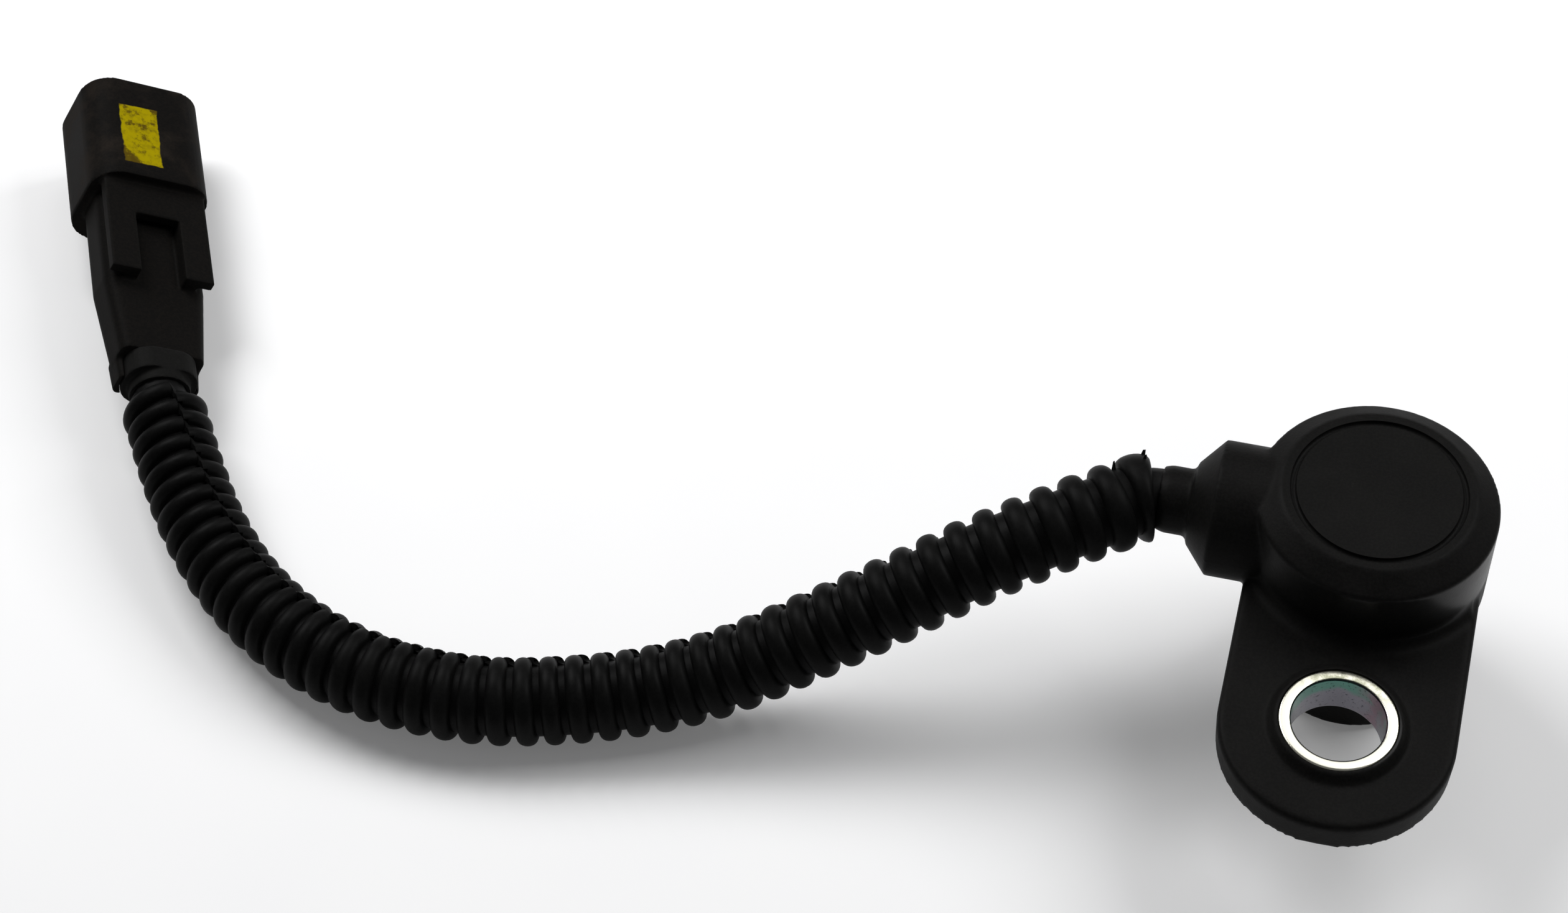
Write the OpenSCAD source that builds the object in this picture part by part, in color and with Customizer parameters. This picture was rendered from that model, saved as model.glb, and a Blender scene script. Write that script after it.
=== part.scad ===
// Crankshaft position sensor: a moulded head on a nose and a bolted flange, with a cable in a
// split convoluted loom and a two-way connector.
// Origin at the centre of the nose's tip, +Z up along the nose, the bolt hole towards -Y and the
// cable boss towards -X. The tip, the loom and the connector's hood lie on the plane z = 0.

/* [Nose] */
// Radius of the nose that goes into the crankcase
nose_r = 7.5; // [6.5:0.1:9]
// Length of the nose, from its tip to the mounting face
nose_len = 12; // [11:0.1:16]
// Chamfer round the nose's tip
nose_chamfer = 0.6; // [0.2:0.1:1.5]
// Distance from the mounting face to the O-ring's groove
oring_drop = 2; // [1.2:0.1:3]
// Diameter of the O-ring's cord
oring_d = 1.9; // [1.5:0.1:2.4]
// How much wider the groove is than the O-ring's cord
groove_play = 0.45; // [0.2:0.05:0.8]
// How far the O-ring stands out of its groove
oring_proud = 0.25; // [0.1:0.05:0.4]

/* [Head] */
// Radius of the round head
head_r = 9.4; // [9.1:0.1:12]
// Height of the head's top above the mounting face
head_h = 10; // [9.6:0.1:14]
// Width of the cone round the head's top
head_cone = 1.9; // [0.5:0.1:2.2]
// Height of the cone round the head's top
head_cone_h = 1.3; // [0.5:0.1:2.2]
// Middle radius of the ring groove in the head's top
ring_r = 6.6; // [4:0.1:6.9]
// Width of the ring groove
ring_w = 0.45; // [0.2:0.05:0.8]
// Depth of the ring groove
ring_d = 0.3; // [0.1:0.05:0.8]
// Radius of the fillet between the head's wall and the flange
head_fillet = 1.2; // [0.4:0.1:2]

/* [Flange] */
// Distance between the nose's axis and the bolt's axis
bolt_offset = 17.2; // [16.5:0.1:24]
// Half the width of the flange
flange_half_w = 9.05; // [8:0.05:10]
// Thickness of the flange
flange_t = 2.9; // [2:0.1:4]
// Radius of the flange's upper edge
flange_edge = 0.5; // [0.1:0.05:0.9]
// How far the flange's wall draws in towards the mounting face
flange_draft = 0.1; // [0:0.05:0.6]
// Height of the collar that the bush ends level with
collar_h = 0.8; // [0.3:0.1:1.5]
// Width of the collar's top beyond the bush
collar_top_w = 0.2; // [0.1:0.05:0.6]
// Width of the collar's foot beyond the bush
collar_foot_w = 0.9; // [0.7:0.05:1.5]

/* [Bush] */
// Radius of the bolt hole
bolt_hole_r = 3.58; // [3:0.01:4]
// Wall of the steel bush
bush_wall = 0.97; // [0.6:0.01:1.5]
// Chamfer on the bush's edges
bush_edge = 0.12; // [0.05:0.01:0.3]

/* [Cable boss] */
// Radius of the boss
boss_r = 5.4; // [4.5:0.1:5.5]
// Height of the boss's axis above the mounting face
boss_rise = 4.2; // [4:0.1:4.5]
// Distance from the nose's axis to the end of the boss's round wall
boss_reach = 12.2; // [11.5:0.1:16]
// Length of the cone at the boss's end
boss_cone = 1.9; // [0.5:0.1:3]
// Radius of the boss's end face
boss_end_r = 3.2; // [3:0.1:4]
// Wall of the neck that the cable leaves by
neck_wall = 0.35; // [0.2:0.05:0.6]
// Length of the neck
neck_len = 2.6; // [1.5:0.1:4]
// Width of the taper at the neck's mouth
neck_taper_w = 0.2; // [0.1:0.02:0.3]
// Length of the taper at the neck's mouth
neck_taper_len = 0.7; // [0.3:0.1:1.2]

/* [Pick-up] */
// Radius of the pocket that holds the pick-up
pocket_r = 4.4; // [4.1:0.1:5]
// Wall of the nose's tip
tip_wall = 1.4; // [0.8:0.1:2]
// Radius of the iron pole piece
pole_r = 2.2; // [1.5:0.1:2.4]
// Wall of the bobbin's tube
bobbin_wall = 0.6; // [0.4:0.05:0.8]
// Thickness of the bobbin's rims
rim_t = 0.8; // [0.5:0.1:1.2]
// Length of the bobbin
bobbin_len = 9; // [7:0.1:10]
// Gap between the winding and the pocket's wall
winding_gap = 0.35; // [0.2:0.05:0.6]
// Thickness of the magnet
magnet_t = 2.6; // [1.5:0.1:3]
// Radius of the magnet
magnet_r = 2.5; // [2:0.1:2.6]
// Height of the pocket over the leads
pocket_room = 1; // [0.5:0.1:2]
// Width of a terminal strip
terminal_w = 1.2; // [0.8:0.1:1.5]
// Thickness of a terminal strip
terminal_t = 0.5; // [0.3:0.05:0.6]

/* [Cable] */
// Radius of the cable's jacket
cable_r = 2.3; // [2.1:0.05:2.5]
// Radius of an insulated core
core_r = 0.75; // [0.5:0.05:0.8]
// Half the distance between the two cores
core_gap = 0.95; // [0.85:0.05:1.1]
// Length of jacket inside the boss and the neck
cable_in_head = 7.9; // [6:0.1:9]
// Length of jacket inside the connector's boot
cable_in_boot = 2.7; // [2:0.1:2.9]

/* [Loom] */
// Gap between the cable and the loom
loom_gap = 0.25; // [0.1:0.05:0.4]
// Wall of the loom
loom_wall = 0.4; // [0.3:0.05:0.5]
// Height of a rib over the root between ribs
rib_h = 0.7; // [0.4:0.05:0.9]
// Distance from rib to rib at the head
rib_pitch = 2.45; // [2.2:0.05:3]
// Distance from rib to rib at the connector, where the loom is pushed together
rib_pitch_boot = 1.75; // [1.5:0.05:2.2]
// Gap between the neck's mouth and the loom
loom_from_neck = 0.7; // [0.5:0.1:3]
// Gap between the connector's boot and the loom
loom_from_boot = 0.5; // [0.3:0.1:4]
// Width of the slit along the loom
slit_w = 0.3; // [0.2:0.05:0.5]
// How far one edge of the slit has slipped along the other, at the connector
slit_slip = 1.2; // [0:0.1:1.5]

/* [Connector] */
// Width of the hood
hood_w = 11; // [10.8:0.1:13]
// Height of the hood
hood_h = 9.2; // [8.8:0.1:11]
// Radius of the hood's long edges
hood_r = 2.8; // [1.5:0.1:3.2]
// Wall of the hood
hood_wall = 1.1; // [0.8:0.1:1.4]
// Length of the hood
hood_len = 11.6; // [11:0.1:16]
// Thickness of the hood's back wall
hood_back = 1.2; // [0.8:0.1:2]
// Width of the body behind the hood
body_w = 9.2; // [8.6:0.1:9.4]
// Height of the body behind the hood
body_h = 4.4; // [4.3:0.1:5.6]
// Height of the body's top above the cable's axis
body_top = 2.1; // [1.9:0.1:2.4]
// Length of the straight part of the body
body_len = 10; // [9.5:0.1:14]
// Length of the tapered part of the body
taper_len = 8.1; // [7:0.1:10]
// Width lost by the taper
taper_w = 1.6; // [0.4:0.1:1.8]
// Height lost by the taper, all of it underneath
taper_h = 0.4; // [0.1:0.1:0.5]
// Radius of the body's long edges
body_r = 1.2; // [0.5:0.1:1.4]
// Width of the clip rail
rail_w = 9.3; // [9:0.05:10]
// Thickness of the clip rail
rail_t = 1; // [0.6:0.1:1.3]
// Height of the rail's foot
rail_foot = 0.5; // [0.3:0.1:0.8]
// Length of the clip rail's legs
rail_len = 10.4; // [9:0.1:12]
// Width of the window between the legs
window_w = 4; // [3:0.1:5]
// Distance from the hood to the window
window_from = 3.6; // [2:0.1:5]
// Width of the boot's tail
tail_w = 6.4; // [6.2:0.1:7]
// Height of the boot's tail
tail_h = 5.3; // [5.2:0.1:6]
// Radius of the tail's long edges
tail_r = 2.2; // [1:0.1:2.5]
// Length of the boot's tail, with its lip
tail_len = 3.2; // [3:0.1:6]
// Length of the round lip at the tail's end
lip_len = 1; // [0.5:0.1:1.5]
// Wall of the lip round the cable
lip_wall = 0.3; // [0.2:0.05:0.3]
// Length of the boot's spigot in the body
spigot_len = 1; // [0.6:0.1:1.6]
// Width of the pocket for the wire seal
seal_w = 6; // [5.6:0.1:6.2]
// Height of the pocket for the wire seal
seal_h = 3; // [2.6:0.1:3.2]
// Radius of the seal's long edges
seal_r = 0.8; // [0.4:0.1:1.2]
// Length of the wire seal
seal_len = 3.5; // [2.5:0.1:4]
// Depth of the seal's pocket past the body's taper
seal_depth = 0.5; // [0.2:0.1:1.5]
// Length of bare core between the seal and the crimp
core_reach = 1.5; // [0.8:0.1:2.5]
// Half the distance between the two contact pins
pin_gap = 1.75; // [1.6:0.05:1.9]
// Radius of a contact pin
pin_r = 0.55; // [0.4:0.05:0.7]
// Radius of a contact's crimp barrel
crimp_r = 0.85; // [0.8:0.05:0.95]
// Length of pin that stands in the hood
pin_len = 6; // [4:0.1:6.4]
// Thickness of the wedge lock
wedge_t = 2.6; // [1.5:0.1:3.5]

/* [Fits] */
// Gap between pieces that are pressed or seated together
fit = 0.03; // [0.01:0.01:0.06]

/* [Hidden] */
$fn = 72;

moulding_black = [0.10, 0.10, 0.10];
loom_black = [0.07, 0.07, 0.07];
steel = [0.78, 0.77, 0.70];
copper = [0.72, 0.42, 0.22];
tin = [0.75, 0.75, 0.72];

face_z = nose_len;
boss_z = face_z + boss_rise;
bush_r = bolt_hole_r + bush_wall;
bush_len = flange_t + collar_h;
boss_end_x = boss_reach + boss_cone;
neck_end_x = boss_end_x + neck_len;
neck_r = cable_r + fit + neck_wall;
oring_seat_r = nose_r + oring_proud - oring_d;
oring_groove_w = oring_d + groove_play;
far = 40;

// How deep a bar is let into the one that it grows out of
joint = 0.3;

// How far a cut runs past the face that it opens
cut_past = 1;

// The pick-up's heights, from the nose's tip up
bobbin_z = tip_wall + fit;
bobbin_top = bobbin_z + bobbin_len;
bobbin_tube_r = pole_r + fit + bobbin_wall;
winding_r = pocket_r - winding_gap;
pocket_top = boss_z + core_r + pocket_room;
terminal_x = (magnet_r + pocket_r) / 2;
lead_start_x = terminal_x + terminal_t / 2;
cable_head_x = neck_end_x - cable_in_head;

// The connector's stations along its own axis, from the end of the boot's tail to the hood's mouth
body_y = tail_len;
straight_y = body_y + taper_len;
hood_y = straight_y + body_len;
mouth_y = hood_y + hood_len;
hood_floor_y = hood_y + hood_back;
seal_end_y = straight_y + seal_depth;
crimp_y = seal_end_y + core_reach;

// The body's middle and the rail's top, from the axis that the cable and the hood share
body_z = body_top - body_h / 2;
rail_top = body_top + rail_foot + rail_t;

// How the connector lies: turned in plan, rolled about its own axis and resting on the hood
plug_turn = 25;
plug_roll = 31;
hood_rest = (hood_w / 2 - hood_r) * sin(plug_roll) + (hood_h / 2 - hood_r) * cos(plug_roll) + hood_r;
plug_at = [-101.9, -0.5, hood_rest];
plug_axis = [-sin(plug_turn), cos(plug_turn), 0];

// The cable's route: out of the neck, down to the plane that the nose stands on, and along it to the boot
neck_mouth = [-neck_end_x, 0, boss_z];
neck_axis = [-1, 0, 0];
route = [
    neck_mouth,
    [-20.5, -2.0, 16],
    [-25, -4.8, 15.2],
    [-30, -7.6, 13.6],
    [-36, -11, 11],
    [-42, -14, 8.2],
    [-48, -16.8, 5.6],
    [-54, -19.2, 4.2],
    [-60, -21.2, 3.8],
    [-66, -22.7, 3.8],
    [-72, -23, 3.8],
    [-78, -22.2, 3.8],
    [-84, -20, 3.8],
    [-89.5, -16.4, 3.9],
    [-94, -12, 4.4],
    [-97.6, -7.2, 5],
    [-100.05, -3.4, 5.5],
    plug_at
];
route_last = len(route) - 1;

// Steps of the smooth curve between two route points
route_steps = 6;

// Beyond each end of the route is a point that makes the cable leave the neck and meet the boot squarely
function route_point(i) =
    i < 0 ? route[1] - 2 * norm(route[1] - route[0]) * neck_axis
    : i > route_last ? route[route_last - 1] + 2 * norm(route[route_last] - route[route_last - 1]) * plug_axis
    : route[i];

// A point between route points i and i + 1 on a curve that passes through all of them
function smooth(i, t) =
    let (a = route_point(i - 1), b = route_point(i), c = route_point(i + 1), d = route_point(i + 2))
    b + t / 2 * ((c - a) + t * ((2 * a - 5 * b + 4 * c - d) + t * (3 * (b - c) + d - a)));

line = concat(
    [neck_mouth - cable_in_head * neck_axis],
    [for (i = [0 : route_last - 1]) for (k = [0 : route_steps - 1]) smooth(i, k / route_steps)],
    [plug_at, plug_at + cable_in_boot * plug_axis]
);
line_length = [
    for (i = 0, s = 0; i < len(line); s = s + norm(line[min(i + 1, len(line) - 1)] - line[i]), i = i + 1) s
];
line_xs = [for (i = [0 : len(line) - 1]) [line_length[i], line[i].x]];
line_ys = [for (i = [0 : len(line) - 1]) [line_length[i], line[i].y]];
line_zs = [for (i = [0 : len(line) - 1]) [line_length[i], line[i].z]];
cable_length = line_length[len(line) - 1];

// A point at a length along the cable, its direction there, and a point on a ring round it
function along(s) = [lookup(s, line_xs), lookup(s, line_ys), lookup(s, line_zs)];
function unit(v) = v / norm(v);
function heading(s) = unit(along(min(s + 0.6, cable_length)) - along(max(s - 0.6, 0)));
function on_ring(s, r, angle) =
    let (t = heading(s), side = unit(cross(t, [0, 0, 1])), up = cross(side, t))
    along(s) + r * (cos(angle) * side + sin(angle) * up);

// A closed solid through rings of points, each with the same number of points
module through_rings(rings) {
    n = len(rings[0]);
    last = len(rings) - 1;
    polyhedron(
        points = [for (ring = rings) each ring],
        faces = concat(
            [[for (j = [n - 1 : -1 : 0]) j]],
            [for (i = [0 : last - 1]) for (j = [0 : n - 1]) for (corner = [0, 1])
                corner == 0 ? [i * n + j, (i + 1) * n + (j + 1) % n, (i + 1) * n + j]
                : [i * n + j, i * n + (j + 1) % n, (i + 1) * n + (j + 1) % n]],
            [[for (j = [0 : n - 1]) last * n + j]]
        ),
        convexity = 10
    );
}

// A rectangle with round corners, about its middle
module round_rect(w, h, r) {
    square([w - 2 * r, h], center = true);
    square([w, h - 2 * r], center = true);
    for (x = [-1, 1], y = [-1, 1])
        translate([x * (w / 2 - r), y * (h / 2 - r)]) circle(r);
}

// A bar along the connector's axis, with round_rect's section about (x, z), from y = from to y = to
module plug_bar(w, h, r, from, to, x = 0, z = 0) {
    translate([x, to, z]) rotate([90, 0, 0]) linear_extrude(to - from) round_rect(w, h, r);
}

module plug_round(r, from, to, x = 0, z = 0) {
    translate([x, to, z]) rotate([90, 0, 0]) cylinder(r = r, h = to - from);
}

module at_plug() {
    translate(plug_at) rotate([0, 0, plug_turn]) rotate([0, plug_roll, 0]) children();
}

// The flange's plan, drawn in by inset
module flange_plan(inset = 0) {
    w = flange_half_w - inset;
    circle(w);
    translate([-w, -bolt_offset]) square([2 * w, bolt_offset]);
    translate([0, -bolt_offset]) circle(w);
}

// Half of the flange's section, with its drawn-in wall and round upper edge
module flange_half_section() {
    square([flange_half_w - flange_edge, flange_t]);
    polygon([
        [0, 0], [flange_half_w - flange_draft, 0], [flange_half_w, flange_t - flange_edge],
        [0, flange_t - flange_edge]
    ]);
    translate([flange_half_w - flange_edge, flange_t - flange_edge]) circle(flange_edge);
}

module flange() {
    rotate_extrude() flange_half_section();
    translate([0, -bolt_offset, 0]) rotate_extrude() flange_half_section();
    rotate([90, 0, 0]) linear_extrude(bolt_offset) {
        flange_half_section();
        mirror([1, 0]) flange_half_section();
    }
    translate([0, -bolt_offset, flange_t])
        cylinder(r1 = bush_r + collar_foot_w, r2 = bush_r + collar_top_w, h = collar_h);
}

module head() {
    rotate_extrude() polygon([
        [0, 0], [head_r, 0], [head_r, head_h - head_cone_h], [head_r - head_cone, head_h],
        [ring_r + ring_w / 2, head_h], [ring_r + ring_w / 2, head_h - ring_d],
        [ring_r - ring_w / 2, head_h - ring_d], [ring_r - ring_w / 2, head_h], [0, head_h]
    ]);
    intersection() {
        rotate_extrude() difference() {
            translate([head_r - joint, flange_t]) square([head_fillet + joint, head_fillet]);
            translate([head_r + head_fillet, flange_t + head_fillet]) circle(head_fillet);
        }
        linear_extrude(head_h) flange_plan(flange_edge);
    }
}

module boss() {
    intersection() {
        translate([0, 0, boss_rise]) rotate([0, -90, 0]) rotate_extrude() polygon([
            [0, 0], [boss_r, 0], [boss_r, boss_reach], [boss_end_r, boss_end_x], [neck_r, boss_end_x],
            [neck_r, neck_end_x - neck_taper_len], [neck_r - neck_taper_w, neck_end_x], [0, neck_end_x]
        ]);
        translate([-far, -far, 0]) cube([2 * far, 2 * far, 2 * far]);
    }
}

module nose() {
    rotate_extrude() polygon([
        [0, 0], [nose_r - nose_chamfer, 0], [nose_r, nose_chamfer],
        [nose_r, face_z - oring_drop - oring_groove_w], [oring_seat_r, face_z - oring_drop - oring_groove_w],
        [oring_seat_r, face_z - oring_drop], [nose_r, face_z - oring_drop], [nose_r, face_z], [0, face_z]
    ]);
}

module sensor_body() color(moulding_black) difference() {
    union() {
        nose();
        translate([0, 0, face_z]) {
            flange();
            head();
            boss();
        }
    }
    translate([0, -bolt_offset, face_z - cut_past]) cylinder(r = bush_r + fit, h = bush_len + 2 * cut_past);
    translate([0, 0, tip_wall]) cylinder(r = pocket_r + fit, h = pocket_top - tip_wall);
    translate([0, 0, -cut_past]) cylinder(r = pole_r + fit, h = tip_wall + 2 * cut_past);
    translate([0, 0, boss_z]) rotate([0, -90, 0]) cylinder(r = cable_r + fit, h = neck_end_x + cut_past);
}

module compression_limiter() color(steel)
    translate([0, -bolt_offset, face_z]) rotate_extrude() polygon([
        [bolt_hole_r, bush_edge], [bolt_hole_r + bush_edge, 0], [bush_r - bush_edge, 0], [bush_r, bush_edge],
        [bush_r, bush_len - bush_edge], [bush_r - bush_edge, bush_len],
        [bolt_hole_r + bush_edge, bush_len], [bolt_hole_r, bush_len - bush_edge]
    ]);

module o_ring() color([0.05, 0.05, 0.05])
    translate([0, 0, face_z - oring_drop - oring_groove_w / 2])
        rotate_extrude() translate([oring_seat_r + fit + oring_d / 2, 0]) circle(oring_d / 2);

module pole_piece() color([0.45, 0.45, 0.46]) cylinder(r = pole_r, h = bobbin_top);

module magnet() color([0.30, 0.30, 0.32])
    translate([0, 0, bobbin_top]) cylinder(r = magnet_r, h = magnet_t);

module bobbin() color([0.80, 0.78, 0.70]) translate([0, 0, bobbin_z]) difference() {
    union() {
        cylinder(r = bobbin_tube_r, h = bobbin_len);
        for (z = [0, bobbin_len - rim_t]) translate([0, 0, z]) cylinder(r = pocket_r, h = rim_t);
    }
    translate([0, 0, -cut_past]) cylinder(r = pole_r + fit, h = bobbin_len + 2 * cut_past);
}

module coil_winding() color(copper) translate([0, 0, bobbin_z + rim_t]) difference() {
    cylinder(r = winding_r, h = bobbin_len - 2 * rim_t);
    translate([0, 0, -cut_past]) cylinder(r = bobbin_tube_r, h = bobbin_len + 2 * cut_past);
}

module terminal(side) color(tin)
    translate([-lead_start_x, side * core_gap - terminal_w / 2, bobbin_top])
        cube([terminal_t, terminal_w, boss_z + core_r - bobbin_top]);

module terminal_1() terminal(1);
module terminal_2() terminal(-1);

module head_lead(side, tint) color(tint)
    translate([-lead_start_x, side * core_gap, boss_z]) rotate([0, -90, 0])
        cylinder(r = core_r, h = cable_head_x - lead_start_x);

module head_lead_1() head_lead(1, "firebrick");
module head_lead_2() head_lead(-1, "dimgray");

// The jacket is a plain round tube along the whole route
cable_sides = 10;
cable_stations = 64;
module cable() color(loom_black) through_rings([
    for (i = [0 : cable_stations])
        [for (j = [0 : cable_sides - 1])
            on_ring(i * cable_length / cable_stations, cable_r, 360 * j / cable_sides)]
]);

// The loom is a slit sleeve: its outer wall rises and falls in ribs, and its bore is plain
loom_from = cable_in_head + loom_from_neck;
loom_to = cable_length - cable_in_boot - loom_from_boot;
loom_bore_r = cable_r + loom_gap;
root_r = loom_bore_r + loom_wall;
rib_count = round(2 * (loom_to - loom_from) / (rib_pitch + rib_pitch_boot));
loom_sides = 12;

// The slit starts on the far side at the head and turns up to the top at the connector
slit_angle_head = -10;
slit_angle_boot = 70;
slit_half = asin(slit_w / 2 / loom_bore_r);

// One rib: places along it as shares of the pitch, and how much of the rib's height each has
rib_profile = [[0, 0.95], [0.36, 0.95], [0.54, 0], [0.8, 0]];

// Where along the cable a rib lies, counted in ribs from the head: the pitch shrinks evenly from end to end
function rib_place(k) =
    let (u = k / rib_count)
    loom_from + (loom_to - loom_from) * u
        * (2 * rib_pitch - (rib_pitch - rib_pitch_boot) * u) / (rib_pitch + rib_pitch_boot);

function loom_share(s) = (s - loom_from) / (loom_to - loom_from);

// Each ring starts at one edge of the slit and ends at the other, which has slipped along the cable
function loom_section(s, r) =
    let (
        start = slit_angle_head + (slit_angle_boot - slit_angle_head) * loom_share(s) + slit_half,
        turn = (360 - 2 * slit_half) / loom_sides,
        slip = slit_slip * loom_share(s) / loom_sides
    )
    concat(
        [for (j = [0 : loom_sides]) on_ring(s - slip * j, r, start + turn * j)],
        [for (j = [loom_sides : -1 : 0]) on_ring(s - slip * j, loom_bore_r, start + turn * j)]
    );

module split_loom() color(loom_black) through_rings(concat(
    [for (k = [0 : rib_count - 1]) for (p = rib_profile)
        loom_section(rib_place(k + p[0]), root_r + p[1] * rib_h)],
    [loom_section(loom_to, root_r)]
));

module rear_boot() color(moulding_black) at_plug() difference() {
    union() {
        plug_bar(tail_w, tail_h, tail_r, lip_len, body_y);
        plug_round(cable_r + fit + lip_wall, 0, lip_len + joint);
        plug_bar(seal_w, seal_h, seal_r, body_y, body_y + spigot_len);
    }
    plug_round(cable_r + fit, -cut_past, cable_in_boot);
    plug_bar(2 * (core_gap + core_r + fit), 2 * (core_r + fit), core_r / 2, 0,
        body_y + spigot_len + cut_past);
}

// The body's underside rises and its sides draw in towards the boot
module tapered_body() {
    hull() {
        plug_bar(body_w, body_h, body_r, straight_y - joint, straight_y, z = body_z);
        plug_bar(body_w - taper_w, body_h - taper_h, body_r, body_y, body_y + joint,
            z = body_z + taper_h / 2);
    }
}

module clip_rail() {
    leg_w = (rail_w - window_w) / 2;
    foot_w = body_w - 2 * body_r;
    for (side = [-1, 1])
        translate([side * (rail_w - leg_w) / 2, hood_y - rail_len / 2, rail_top - rail_t / 2])
            cube([leg_w, rail_len, rail_t], center = true);
    translate([-rail_w / 2, hood_y - window_from, rail_top - rail_t])
        cube([rail_w, window_from + joint, rail_t]);
    for (side = [-1, 1]) translate([side * (foot_w + window_w) / 4, hood_y - rail_len / 2, body_top])
        cube([(foot_w - window_w) / 2, rail_len, 2 * rail_foot + joint], center = true);
}

module connector_shell() color(moulding_black) at_plug() difference() {
    union() {
        plug_bar(hood_w, hood_h, hood_r, hood_y, mouth_y);
        plug_bar(body_w, body_h, body_r, straight_y - joint, hood_y + joint, z = body_z);
        tapered_body();
        clip_rail();
    }
    plug_bar(hood_w - 2 * hood_wall, hood_h - 2 * hood_wall, hood_r - hood_wall, hood_floor_y,
        mouth_y + cut_past);
    plug_bar(seal_w + 2 * fit, seal_h + 2 * fit, seal_r, body_y - cut_past, seal_end_y);
    for (side = [-1, 1])
        plug_round(crimp_r + fit, seal_end_y - cut_past, hood_floor_y + cut_past, x = side * pin_gap);
}

module wire_seal() color([0.55, 0.25, 0.15]) at_plug() difference() {
    plug_bar(seal_w, seal_h, seal_r, seal_end_y - seal_len, seal_end_y);
    for (side = [-1, 1])
        plug_round(core_r + fit, seal_end_y - seal_len - cut_past, seal_end_y + cut_past, x = side * pin_gap);
}

// A core leaves the jacket, spreads to its contact's line and goes through the seal to the crimp
lead_sides = 12;
lead_line = [
    [core_gap, cable_in_boot], [core_gap, body_y + spigot_len],
    [pin_gap, seal_end_y - seal_len], [pin_gap, crimp_y]
];
module plug_lead(side, tint) color(tint) at_plug() through_rings([
    for (p = lead_line)
        [for (j = [0 : lead_sides - 1])
            [side * p[0] + core_r * cos(360 * j / lead_sides), p[1], core_r * sin(360 * j / lead_sides)]]
]);

module plug_lead_1() plug_lead(1, "firebrick");
module plug_lead_2() plug_lead(-1, "dimgray");

// A contact: its crimp barrel in the body and its pin in the hood, with a rounded tip
module contact_pin(side) color(tin) at_plug() translate([side * pin_gap, crimp_y, 0]) rotate([-90, 0, 0]) {
    cylinder(r = crimp_r, h = hood_floor_y - crimp_y);
    cylinder(r = pin_r, h = hood_floor_y - crimp_y + pin_len - pin_r);
    translate([0, 0, hood_floor_y - crimp_y + pin_len - pin_r]) sphere(pin_r);
}

module contact_pin_1() contact_pin(1);
module contact_pin_2() contact_pin(-1);

module wedge_lock() color([0.75, 0.35, 0.10]) at_plug() difference() {
    plug_bar(hood_w - 2 * hood_wall - 2 * fit, hood_h - 2 * hood_wall - 2 * fit, hood_r - hood_wall,
        hood_floor_y, hood_floor_y + wedge_t);
    for (side = [-1, 1])
        plug_round(pin_r + fit, hood_floor_y - cut_past, hood_floor_y + wedge_t + cut_past, x = side * pin_gap);
}

sensor_body();
compression_limiter();
o_ring();
pole_piece();
magnet();
bobbin();
coil_winding();
terminal_1();
terminal_2();
head_lead_1();
head_lead_2();
cable();
split_loom();
rear_boot();
connector_shell();
wire_seal();
plug_lead_1();
plug_lead_2();
contact_pin_1();
contact_pin_2();
wedge_lock();
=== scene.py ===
# %% [markdown]
# # A crankshaft position sensor
# The part is a black moulded head with a bolted flange, a short cable in a split convoluted loom
# and a two-way connector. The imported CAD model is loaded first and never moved. Each visible piece
# is then modelled again, with the soft edges, ribs and finishes that plain CAD solids lack.

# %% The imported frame
import math

import bpy
from mathutils import Matrix, Vector


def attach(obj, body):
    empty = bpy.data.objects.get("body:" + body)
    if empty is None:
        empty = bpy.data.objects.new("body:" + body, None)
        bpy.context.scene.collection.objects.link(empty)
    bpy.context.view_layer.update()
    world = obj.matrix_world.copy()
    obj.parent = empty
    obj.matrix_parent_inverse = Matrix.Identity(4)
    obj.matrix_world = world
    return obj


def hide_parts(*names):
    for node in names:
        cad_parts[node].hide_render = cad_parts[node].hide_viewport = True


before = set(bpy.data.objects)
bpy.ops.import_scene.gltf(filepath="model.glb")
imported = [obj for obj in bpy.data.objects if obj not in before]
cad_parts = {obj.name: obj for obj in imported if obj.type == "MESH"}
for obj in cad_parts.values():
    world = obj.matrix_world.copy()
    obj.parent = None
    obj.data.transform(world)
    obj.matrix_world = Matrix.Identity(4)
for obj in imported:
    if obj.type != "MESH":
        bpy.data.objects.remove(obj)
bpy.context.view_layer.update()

mm = 0.001

# %% [markdown]
# ## The camera
# The photograph looks down on the part at about fifty degrees, from a little to its right. The lens and
# the place were solved from the round bush, the head's circles and the flange, so the camera is set
# by its angles and its distance from a target, and not moved by eye.

# %% Camera
camera_turn = math.radians(15.292)
camera_rise = math.radians(52.562)
camera_roll = math.radians(-1.914)
camera_target = Vector((-47.335, 0.43, 12)) * mm
camera_distance = 278.691 * mm
camera_lens = 78.77
film_w = 36

back = Vector((
    math.sin(camera_turn) * math.cos(camera_rise),
    -math.cos(camera_turn) * math.cos(camera_rise),
    math.sin(camera_rise),
))
level_right = Vector((math.cos(camera_turn), math.sin(camera_turn), 0))
level_up = back.cross(level_right)
right = level_right * math.cos(camera_roll) + level_up * math.sin(camera_roll)
up = level_up * math.cos(camera_roll) - level_right * math.sin(camera_roll)

bpy.ops.object.camera_add()
camera = bpy.context.object
camera.matrix_world = Matrix.Translation(camera_target + back * camera_distance) @ Matrix((
    (right.x, up.x, back.x, 0),
    (right.y, up.y, back.y, 0),
    (right.z, up.z, back.z, 0),
    (0, 0, 0, 1),
))
camera.data.sensor_width = film_w
camera.data.sensor_fit = "HORIZONTAL"
camera.data.lens = camera_lens
camera.data.clip_start = 0.01
camera.data.clip_end = 20
bpy.context.scene.camera = camera
print("camera at mm:", [round(x / mm, 1) for x in camera.location])

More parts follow.
